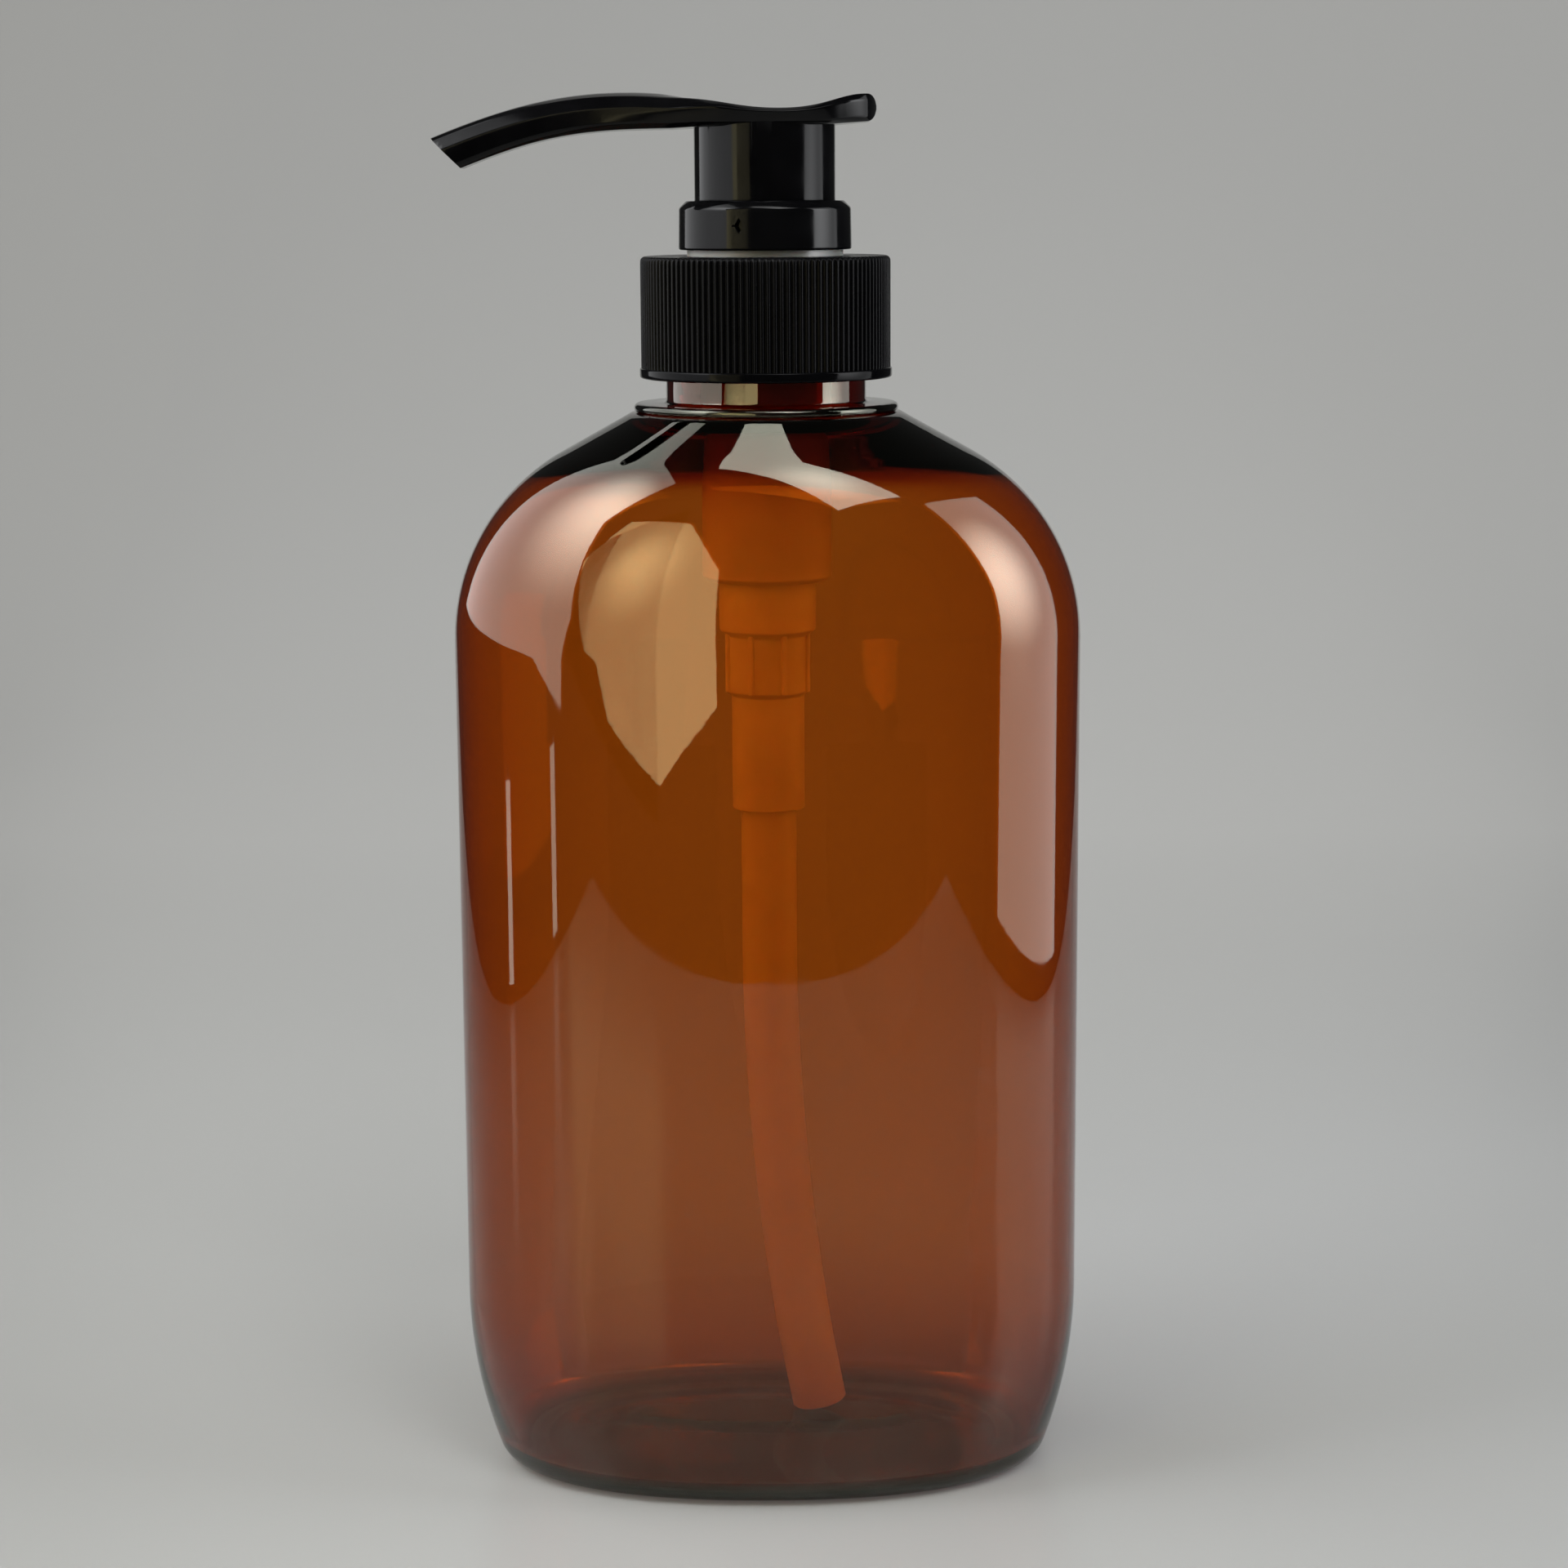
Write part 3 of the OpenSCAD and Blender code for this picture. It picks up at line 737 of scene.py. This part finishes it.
def head_under_line():
    ahead = Vector(TIP_LOW) + Vector((-8, -3.2))
    line = [ahead]
    line += curve_points(TIP_LOW, (-28.9, 176.8), (-24, 177.7), (-12, 177.7), 24)
    line += [Vector((-8.1, 177.9)), Vector((8.1, 178.1)), Vector((TAIL_X, 178.6))]
    return line


def head_plan_line():
    line = [Vector((-SPOUT_REACH - 8, 3.1))]
    line += curve_points((-SPOUT_REACH - 1, 3.4), (-30, 4.1), (-19, 5.4), (-11.5, 7.7), 20)
    line += curve_points((-11, 7.85), (-7.5, 9.1), (-4, CHEEK), (0, CHEEK), 16)
    line += curve_points((0.5, CHEEK), (4.5, CHEEK), (7.5, 8.6), (9.5, 7.4), 12)
    line += curve_points((9.8, 7.2), (12.6, 5.6), (TAIL_X, 4), (TAIL_X, 0.3), 24)
    return line


def head_section(x, top, under, half, shrink=1.0):
    """One cross section of the head: flat top, bevelled upper edges, walls that draw in below."""
    tall = top - under
    middle = under + tall * 0.5
    dish = 0.75 * smooth_step((x + 14) / 9) * smooth_step((15 - x) / 7)
    crown = 0.12 * tall * (1 - smooth_step((x + 14) / 9))
    wide = smooth_step((x + 12) / 8)
    bevel = 0.74 + 0.16 * wide
    ridge = top - tall * (0.36 - 0.14 * wide)
    corners = [
        (0, top - dish), (half * bevel * 0.6, top - dish * 0.55 - crown * 0.25), (half * bevel, top - crown),
        (half, ridge - crown * 0.5), (half * 0.93, under + tall * 0.16), (half * 0.8, under), (0, under)
    ]
    side = soften(corners)
    ring = [Vector((x, y * shrink, middle + (z - middle) * shrink)) for y, z in side]
    ring += [Vector((x, -y * shrink, middle + (z - middle) * shrink)) for y, z in side[-2:0:-1]]
    return ring


def soften(corners):
    """Polyline with each inner corner cut to a short curve, always with the same number of points."""
    points = [Vector(p) for p in corners]
    result = [tuple(points[0])]
    for before, here, after in zip(points, points[1:], points[2:]):
        first = here.lerp(before, HEAD_SOFTNESS)
        last = here.lerp(after, HEAD_SOFTNESS)
        for k in range(5):
            t = k / 4
            p = first.lerp(here, t).lerp(here.lerp(last, t), t)
            result.append((p.x, p.y))
        far = here.lerp(after, 0.5)
        result.append((far.x, far.y))
    return result + [tuple(points[-1])]


def head_stations():
    start = -SPOUT_REACH - 3.5
    even = [start + (TAIL_X - 2.6 - start) * i / 110 for i in range(111)]
    tail = [TAIL_X - 2.6 + 2.6 * math.sin(math.radians(90 * i / 12)) for i in range(1, 13)]
    return even + tail


def make_head_body():
    top, under, plan = head_top_line(), head_under_line(), head_plan_line()
    rings = []
    for x in head_stations():
        into_tail = max(0.0, (x - TAIL_X + 1.2) / 1.2)
        shrink = math.sqrt(max(0.02, 1 - into_tail ** 2))
        half = max(height_at(plan, x), 1.2)
        rings.append(head_section(x, height_at(top, x), height_at(under, x), half, shrink))
    body = new_object("pump_head", loft(rings))
    trim_tip(body)
    return body


def trim_tip(body):
    """Cuts the spout's end on its slant."""
    bm = bmesh.new()
    bm.from_mesh(body.data)
    high, low = Vector((TIP_TOP[0], 0, TIP_TOP[1])) * MM, Vector((TIP_LOW[0], 0, TIP_LOW[1])) * MM
    along = (low - high).normalized()
    outward = Vector((along.z, 0, -along.x))
    geometry = bm.verts[:] + bm.edges[:] + bm.faces[:]
    cut = bmesh.ops.bisect_plane(bm, geom=geometry, plane_co=high, plane_no=outward, clear_outer=True)
    edges = [e for e in cut["geom_cut"] if isinstance(e, bmesh.types.BMEdge)]
    bmesh.ops.contextual_create(bm, geom=edges)
    bmesh.ops.recalc_face_normals(bm, faces=bm.faces)
    bm.to_mesh(body.data)
    bm.free()


def channel_piece():
    """Round channel from the stem's socket to the spout's tip."""
    radius, climb_end, bend_radius = 1.2, Vector((-16, 0, 180.1)), 64.0
    path = [Vector((0, 0, 177.9)).lerp(climb_end, i / 8) for i in range(9)]
    for i in range(1, 25):
        a = math.radians(28 * i / 24)
        path.append(climb_end + Vector((-bend_radius * math.sin(a), 0, bend_radius * (math.cos(a) - 1))))
    rings = []
    for i, p in enumerate(path):
        ahead = (path[min(i + 1, len(path) - 1)] - path[max(i - 1, 0)]).normalized()
        up = Vector((0, 1, 0)).cross(ahead)
        wide = radius + 0.45 * smooth_step((-p.x - 37.5) / 1.5)
        turns = (math.tau * k / 32 for k in range(32))
        rings.append([p + wide * (up * math.cos(t) + Vector((0, 1, 0)) * math.sin(t)) for t in turns])
    return new_object("channel", loft(rings))


def make_head():
    body = make_head_body()
    low = HEAD_LOW.z
    skirt = rounded([(SKIRT_BORE, low), (SKIRT_OUTER, low), (SKIRT_OUTER, 179.3), (SKIRT_BORE, 179.3)], 0.2)
    apply_boolean(body, new_object("skirt", lathe(skirt, 192)), "UNION")
    boss = rounded([(3.5, 167.5), (5.2, 167.5), (5.2, 179), (3.5, 179)], 0.15)
    apply_boolean(body, new_object("boss", lathe(boss, 96)), "UNION")
    apply_boolean(body, channel_piece(), "DIFFERENCE")
    edge = body.modifiers.new("edge", "BEVEL")
    edge.width = 0.16 * MM
    edge.segments = 3
    edge.limit_method = "ANGLE"
    edge.angle_limit = math.radians(40)
    bake_modifiers(body)
    shade(body.data, 32)
    finish_piece(body, BLACK_GLOSS, "head", "actuator_head")


# ---------------------------------------------------------------- inner nodes kept from the frame

KEPT = {
    "neck_gasket": SOFT_WHITE,
    "stem_guide": NATURAL,
    "stem": NATURAL,
    "piston": SOFT_WHITE,
    "piston_seat": NATURAL,
    "ball_cage": NATURAL,
    "return_spring": SPRING_STEEL,
    "inlet_ball": BALL_STEEL,
    "outlet_ball": BALL_STEEL,
}


def dress_kept_nodes():
    for node, material in KEPT.items():
        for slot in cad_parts[node].material_slots:
            slot.material = material


# ---------------------------------------------------------------- studio


CAMERA_PLACE = (0.00204, -0.4458, 0.1699)
CAMERA_LENS = 78.2
CAMERA_TILT = 9.887
CAMERA_ROLL = -0.326


def make_camera():
    data = bpy.data.cameras.new("camera")
    data.sensor_width = 36
    data.lens = CAMERA_LENS
    data.clip_start = 0.01
    camera = bpy.data.objects.new("camera", data)
    tilt = Matrix.Rotation(math.radians(90 - CAMERA_TILT), 4, "X")
    roll = Matrix.Rotation(math.radians(CAMERA_ROLL), 4, "Z")
    camera.matrix_world = Matrix.Translation(CAMERA_PLACE) @ tilt @ roll
    bpy.context.scene.collection.objects.link(camera)
    bpy.context.scene.camera = camera


# The tent's half width, its open front, and where and how tightly the paper sweeps up behind.
TENT_HALF = 310.0
TENT_FRONT = -330.0
SWEEP_START = 450.0
SWEEP_RADIUS = 700.0
PAPER_SIDE = 4000
PAPER_FRONT = -3000
PAPER_TOP = 2600

FLOOR_DARK = (0.31, 0.315, 0.31)
FLOOR_LIGHT = (0.33, 0.335, 0.33)

# The paper's own faint light: from and to in metres, then its strength there, behind and all round.
GLOW = (-0.1, 0.75, 0.05, 0.28)
GLOW_AROUND = (0.3, 0.9, 0.05, 0.28)

# How bright the world is where it is mirrored, and where it is looked at.
ROOM = 0.03
BEYOND = 0.42

WARM = (1.0, 0.89, 0.52)
COOL = (0.97, 0.98, 1.0)


def floor_line():
    """Side view (y, z) of the paper: flat, then swept up behind."""
    line = [(TENT_FRONT, 0), (-100, 0), (SWEEP_START, 0)]
    for a in range(5, 91, 5):
        t = math.radians(a)
        line.append((SWEEP_START + SWEEP_RADIUS * math.sin(t), SWEEP_RADIUS * (1 - math.cos(t))))
    return line + [(SWEEP_START + SWEEP_RADIUS, PAPER_TOP)]


def paper_sheet(name, strips, material):
    bm = bmesh.new()
    for line, left, right in strips:
        rows = [[bm.verts.new((x, y, z)) for x in (left, right)] for y, z in line]
        for low, high in zip(rows, rows[1:]):
            bm.faces.new((low[0], low[1], high[1], high[0]))
    sheet = new_object(name, bm)
    sheet.data.materials.append(material)
    return sheet


def make_floor():
    material, tree, shader = new_material("studio_paper", Roughness=0.3, IOR=1.4)
    tint(tree, shader, noise(tree, 3, detail=2.0), FLOOR_DARK, FLOOR_LIGHT)
    add_bump(tree, shader, noise(tree, 700, detail=3.0), 0.00003, 0.2)
    behind = map_range(tree, GLOW, "SMOOTHSTEP")
    tree.links.new(object_axis(tree, "Y"), behind.inputs["Value"])
    reach = tree.nodes.new("ShaderNodeVectorMath")
    reach.operation = "LENGTH"
    tree.links.new(object_place(tree), reach.inputs[0])
    around = map_range(tree, GLOW_AROUND, "SMOOTHSTEP")
    tree.links.new(reach.outputs["Value"], around.inputs["Value"])
    larger = combine(tree, "MAXIMUM", behind.outputs["Result"], around.outputs["Result"])
    shader.inputs["Emission Color"].default_value = (1.0, 1.0, 0.975, 1)
    tree.links.new(larger, shader.inputs["Emission Strength"])
    line = floor_line()
    paper_sheet("studio_floor", [(line, -TENT_HALF, TENT_HALF)], material)
    front = [(PAPER_FRONT, 0), (TENT_FRONT, 0)]
    sides = [(line, -PAPER_SIDE, -TENT_HALF), (line, TENT_HALF, PAPER_SIDE)]
    surround = paper_sheet("studio_surround", sides + [(front, -PAPER_SIDE, PAPER_SIDE)], material)
    surround.visible_glossy = False
    surround.visible_diffuse = False
    surround.visible_shadow = False


def make_world():
    """Dark room for reflections, pale wall where the object is looked at or looked through."""
    world = bpy.data.worlds.new("studio")
    world.use_nodes = True
    tree = world.node_tree
    background = tree.nodes["Background"]
    path = tree.nodes.new("ShaderNodeLightPath")
    seen = combine(tree, "MAXIMUM", path.outputs["Is Camera Ray"], path.outputs["Is Transmission Ray"])
    level = map_range(tree, (0, 1, ROOM, BEYOND))
    tree.links.new(seen, level.inputs["Value"])
    tree.links.new(level.outputs["Result"], background.inputs["Strength"])
    background.inputs["Color"].default_value = (0.99, 1.0, 0.98, 1)
    bpy.context.scene.world = world


def side_panel(name, centre, size, radiance):
    """Small soft panel on the left that faces +X, unseen by the camera, in millimetres."""
    data = bpy.data.lights.new(name, "AREA")
    data.shape = "RECTANGLE"
    data.size, data.size_y = size[0] * MM, size[1] * MM
    data.energy = radiance * math.pi * data.size * data.size_y
    light = bpy.data.objects.new(name, data)
    turn = Vector((1, 0, 0)).to_track_quat("-Z", "Y").to_matrix().to_4x4()
    light.matrix_world = Matrix.Translation(Vector(centre) * MM) @ turn
    light.visible_camera = False
    light.visible_transmission = False
    bpy.context.scene.collection.objects.link(light)


def wall(name, corners, colour, level, glow, extra, reach):
    """Self-lit tent wall in millimetres, unseen by the camera, with extra light round the point glow."""
    material = bpy.data.materials.new(name)
    material.use_nodes = True
    tree = material.node_tree
    tree.nodes.remove(tree.nodes["Principled BSDF"])
    light = tree.nodes.new("ShaderNodeEmission")
    light.inputs["Color"].default_value = (*colour, 1)
    away = tree.nodes.new("ShaderNodeVectorMath")
    away.operation = "DISTANCE"
    away.inputs[1].default_value = Vector(glow) * MM
    tree.links.new(object_place(tree), away.inputs[0])
    fall = map_range(tree, (0, reach * MM, level + extra, level), "SMOOTHSTEP")
    tree.links.new(away.outputs["Value"], fall.inputs["Value"])
    tree.links.new(fall.outputs["Result"], light.inputs["Strength"])
    tree.links.new(light.outputs["Emission"], tree.nodes["Material Output"].inputs["Surface"])
    bm = bmesh.new()
    bm.faces.new([bm.verts.new(p) for p in corners])
    sheet = new_object(name, bm)
    sheet.data.materials.append(material)
    sheet.visible_camera = False
    sheet.visible_shadow = False
    return sheet


# Outlines of the tent's walls, as (y, z) at the sides, (x, z) at the front and (x, y) above.
LEFT_WALL = (
    (-225, 54), (-255, 147), (-204, 393), (-341, 754), (20, 790),
    (300, 790), (285, 120), (45, 100), (-100, 80)
)
RIGHT_WALL = ((-145, 12), (100, 5), (113, 190), (104, 390), (-150, 450), (-128, 190))
GLASS_FLAP = (
    (-52, 61), (-136, 39), (-250, 46), (-327, 75), (-447, 343), (-318, 447), (-123, 335), (-55, 208)
)
BLACK_FLAP = ((-140, 30), (-430, 50), (-430, 400), (-140, 400))
TOP_WALL = ((-150, -225), (85, -240), (515, -340), (315, -820), (65, -550), (-160, -300))
SIDE_X = 312
FLAP_Y = -332
TOP_Z = 790


def make_lights():
    left = [(-SIDE_X, y, z) for y, z in LEFT_WALL]
    wall("left_wall", left, COOL, 2.2, (-SIDE_X, -165, 430), 9.0, 290)
    glass = [(x, FLAP_Y, z) for x, z in GLASS_FLAP]
    shown = wall("glass_flap", glass, WARM, 3.6, (-210, FLAP_Y, 250), 5.0, 130)
    shown.light_linking.receiver_collection = receivers("clear_parts", ("bottle_shell",))
    black = [(x, FLAP_Y, z) for x, z in BLACK_FLAP]
    other = wall("black_flap", black, WARM, 3.6, (-250, FLAP_Y, 230), 3.6, 80)
    rest = [o.name for o in bpy.data.objects if o.type == "MESH" and o.name != "bottle_shell"]
    other.light_linking.receiver_collection = receivers("other_parts", rest)
    right = [(SIDE_X, y, z) for y, z in RIGHT_WALL]
    wall("right_wall", right, COOL, 2.2, (SIDE_X, -85, 215), 8.5, 160)
    top = [(x, y, TOP_Z) for x, y in TOP_WALL]
    wall("top_wall", top, (1, 1, 1), 5.0, (190, -450, TOP_Z), 5.5, 260)
    side_panel("left_slit", (-311, -36, 26), (17, 44), 2.8)
    side_panel("left_post", (-311, -192, 26), (15, 44), 2.8)
    bpy.context.scene.view_settings.view_transform = "Standard"


def receivers(name, names):
    """Collection of the objects that a light reaches."""
    group = bpy.data.collections.new(name)
    for piece in names:
        group.objects.link(bpy.data.objects[piece])
    return group


make_camera()
make_floor()
make_world()
make_bottle()
make_closure()
make_collar()
make_housing()
make_tube()
make_head()
dress_kept_nodes()
make_lights()
